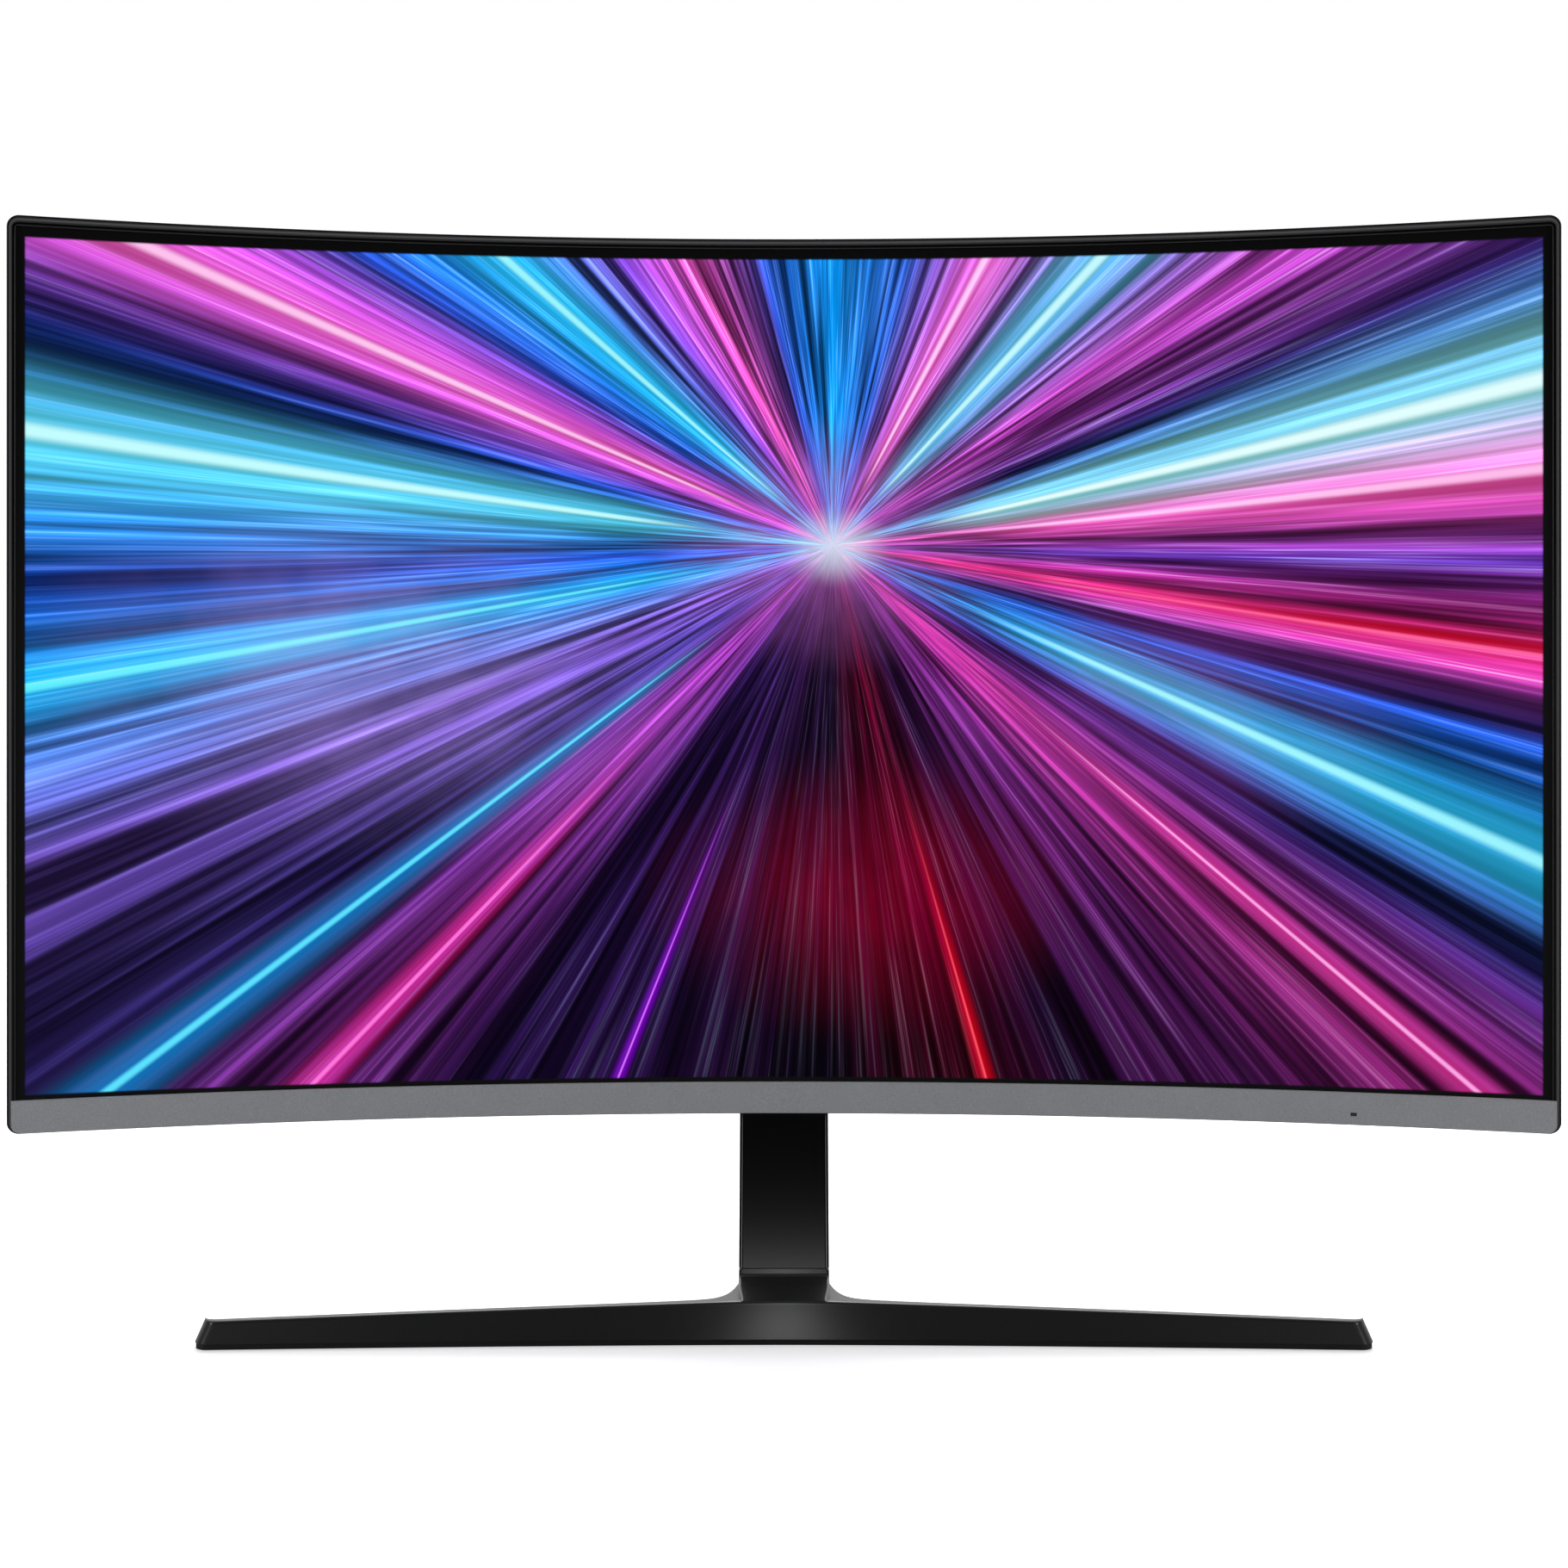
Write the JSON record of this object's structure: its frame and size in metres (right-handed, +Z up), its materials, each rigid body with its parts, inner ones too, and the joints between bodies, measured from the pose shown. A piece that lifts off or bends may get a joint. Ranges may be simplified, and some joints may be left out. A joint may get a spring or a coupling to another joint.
{
  "type": "computer monitor",
  "caption": "Curved wide desktop computer monitor with thin black bezels, a grey chin and a tilting neck on a low, wide foot.",
  "frame": {"origin": "on the desk, straight below the middle of the screen's front face, on the front rubber pad", "axes": "+X to the right seen from the front, +Y away from the viewer, +Z up"},
  "size_m": [0.709, 0.1937, 0.5215],
  "materials": {
    "gloss_black": "polished",
    "chin_grey": "satin metallic paint",
    "lens": "polished",
    "screen": "matte",
    "frame_plastic": "moulded",
    "film": "satin",
    "light_guide": "polished",
    "reflector": "matte",
    "aluminium": "mill",
    "steel": "rolled",
    "screw_steel": "plated",
    "board": "solder mask",
    "components": "moulded",
    "flex": "film",
    "wire": "flexible",
    "rear_plastic": "fine texture",
    "connector_metal": "plated",
    "connector_blue": "moulded",
    "hinge_steel": "black oxide",
    "pin_steel": "ground",
    "bronze": "satin",
    "neck_black": "satin",
    "foot_paint": "satin metallic paint",
    "bottom_plastic": "moulded",
    "rubber": "matte"
  },
  "bodies": {
    "stand": {"neck_frame": "steel", "neck_front_cover": "neck_black", "neck_rear_cover": "neck_black", "neck_screws": "screw_steel", "hinge_cover": "neck_black", "foot_shell": "foot_paint", "foot_weight": "steel", "foot_bottom_plate": "bottom_plastic", "foot_screws": "screw_steel", "rubber_feet": "rubber"},
    "head": {"front_bezel": "gloss_black", "chin_trim": "chin_grey", "power_led_lens": "lens", "lcd_cell": "screen", "mid_frame": "frame_plastic", "optical_films": "film", "light_guide": "light_guide", "reflector_sheet": "reflector", "led_strip": "aluminium", "led_packages": "film", "back_chassis": "aluminium", "panel_driver_board": "board", "driver_flex_tapes": "flex", "rear_cover": "rear_plastic", "rear_cover_screws": "screw_steel", "vesa_bracket": "steel", "stand_bracket": "steel", "bracket_screws": "screw_steel", "board_tray": "aluminium", "main_board": "board", "scaler_heatsink": "aluminium", "main_board_parts": "components", "hdmi_port": "connector_metal", "vga_port": "connector_blue", "dc_jack": "components", "audio_jack": "components", "power_board": "board", "power_board_parts": "components", "board_screws": "screw_steel", "panel_cable": "wire", "key_cable": "wire", "jog_board": "board", "jog_switch_housing": "components", "hinge_head_plate": "hinge_steel", "hinge_plate_screws": "screw_steel", "hinge_pin": "pin_steel", "friction_washers": "bronze", "spring_washers": "pin_steel", "hinge_nuts": "screw_steel"},
    "thumb_screw": {"thumb_screw": "screw_steel"},
    "thumb_ring": {"thumb_ring": "pin_steel"},
    "jog_gimbal": {"jog_gimbal": "steel"},
    "jog_stem": {"jog_stem": "steel"},
    "jog_cap": {"jog_cap": "rear_plastic"}
  },
  "joints": [
    {"name": "tilt", "type": "hinge", "parent": "stand", "child": "head", "pos_m": [0, 0.0635, 0.215], "axis": [-1, 0, 0], "range_deg": [-2, 22]},
    {"name": "thumb_turn", "type": "hinge", "parent": "stand", "child": "thumb_screw", "pos_m": [0, 0.018, 0.0028], "axis": [0, 0, 1], "continuous": true},
    {"name": "ring_fold", "type": "hinge", "parent": "thumb_screw", "child": "thumb_ring", "pos_m": [0, 0.018, 0.0028], "axis": [-1, 0, 0], "range_deg": [0, 90]},
    {"name": "jog_up_down", "type": "hinge", "parent": "head", "child": "jog_gimbal", "pos_m": [0.268, -0.01052, 0.122], "axis": [0.9842, -0.1771, 0], "range_deg": [-8, 8]},
    {"name": "jog_left_right", "type": "hinge", "parent": "jog_gimbal", "child": "jog_stem", "pos_m": [0.268, -0.01052, 0.122], "axis": [0, 0, 1], "range_deg": [-8, 8]},
    {"name": "jog_press", "type": "slide", "parent": "jog_stem", "child": "jog_cap", "axis": [-0.1771, -0.9842, 0], "range_m": [0, 0.0008]}
  ]
}
